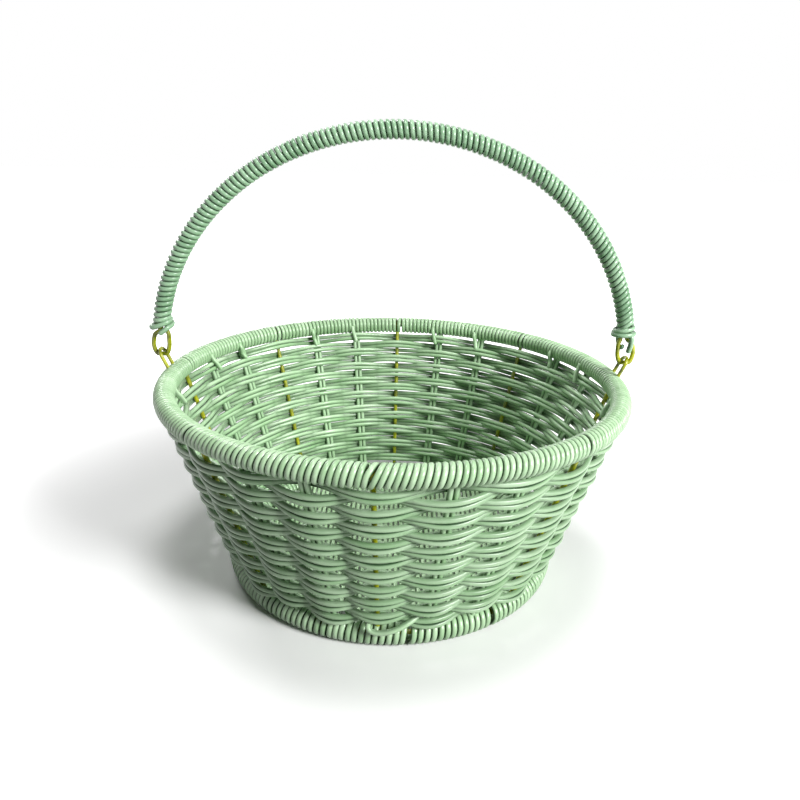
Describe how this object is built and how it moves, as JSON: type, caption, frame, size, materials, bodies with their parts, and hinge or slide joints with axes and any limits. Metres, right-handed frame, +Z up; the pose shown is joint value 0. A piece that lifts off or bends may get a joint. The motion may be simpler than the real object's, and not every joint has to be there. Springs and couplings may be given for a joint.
{
  "type": "woven hand basket",
  "caption": "Round tapered hand basket of woven plastic strand on a lacquered wire frame, with a wrapped arch handle that swings from front to back on two wire loops.",
  "frame": {"origin": "centre of the footprint, on the surface that the basket stands on", "axes": "+Z up along the basket's axis, X through the two handle pivots, -Y towards the viewer"},
  "size_m": [0.2622, 0.25, 0.2366],
  "materials": {
    "strand": "satin mint green",
    "frame_wire": "gloss yellow-green lacquer"
  },
  "bodies": {
    "basket": {"rim_hoop": "frame_wire", "base_hoop": "frame_wire", "rim_wrap": "strand", "base_wrap": "strand", "floor_strand": "strand", "floor_wire_1": "frame_wire", "floor_wire_2": "frame_wire", "floor_wire_3": "frame_wire", "wire_rib_01": "frame_wire", "wire_rib_02": "frame_wire", "wire_rib_03": "frame_wire", "wire_rib_04": "frame_wire", "wire_rib_05": "frame_wire", "wire_rib_06": "frame_wire", "wire_rib_07": "frame_wire", "wire_rib_08": "frame_wire", "strand_stake_01": "strand", "strand_stake_02": "strand", "strand_stake_03": "strand", "strand_stake_04": "strand", "strand_stake_05": "strand", "strand_stake_06": "strand", "strand_stake_07": "strand", "strand_stake_08": "strand", "strand_stake_09": "strand", "strand_stake_10": "strand", "strand_stake_11": "strand", "strand_stake_12": "strand", "strand_stake_13": "strand", "strand_stake_14": "strand", "strand_stake_15": "strand", "strand_stake_16": "strand", "woven_row_01": "strand", "woven_row_02": "strand", "woven_row_03": "strand", "woven_row_04": "strand", "woven_row_05": "strand", "woven_row_06": "strand", "woven_row_07": "strand", "woven_row_08": "strand", "woven_row_09": "strand", "woven_row_10": "strand", "woven_row_11": "strand", "woven_row_12": "strand", "woven_row_13": "strand", "woven_row_14": "strand", "woven_row_15": "strand", "woven_row_16": "strand", "woven_row_17": "strand", "woven_row_18": "strand", "rim_loop_right": "frame_wire", "rim_loop_left": "frame_wire"},
    "handle": {"handle_wire": "frame_wire", "handle_wrap": "strand", "handle_knot_right": "strand", "handle_knot_left": "strand"}
  },
  "joints": [
    {"name": "handle_swing", "type": "hinge", "parent": "basket", "child": "handle", "pos_m": [0, 0, 0.11642], "axis": [1, 0, 0], "range_deg": [-90.5, 90.5]}
  ]
}
